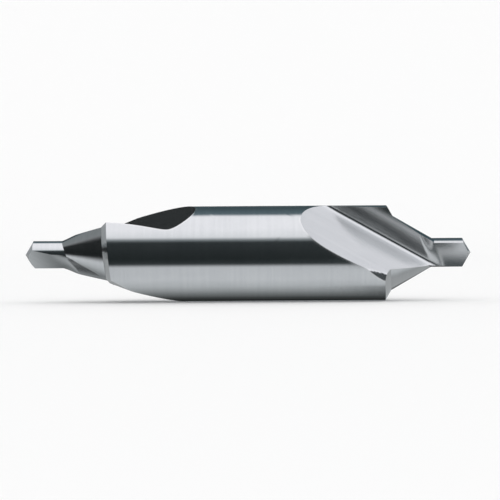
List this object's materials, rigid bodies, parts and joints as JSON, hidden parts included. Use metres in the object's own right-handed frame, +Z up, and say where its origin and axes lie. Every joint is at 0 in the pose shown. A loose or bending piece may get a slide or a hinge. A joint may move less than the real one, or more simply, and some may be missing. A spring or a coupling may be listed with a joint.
{
  "type": "centre drill",
  "caption": "Double-ended centre drill in bright ground tool steel, 14 mm body, 65.5 mm long, with two flutes at each end.",
  "frame": {"origin": "on the drill's axis at mid length", "axes": "+X along the drill's axis towards one tip, +Z up, -Y towards the front"},
  "size_m": [0.0654, 0.014, 0.014],
  "materials": {
    "ground_steel": "bright ground"
  },
  "bodies": {
    "root": {"centre_drill": "ground_steel"}
  },
  "joints": []
}
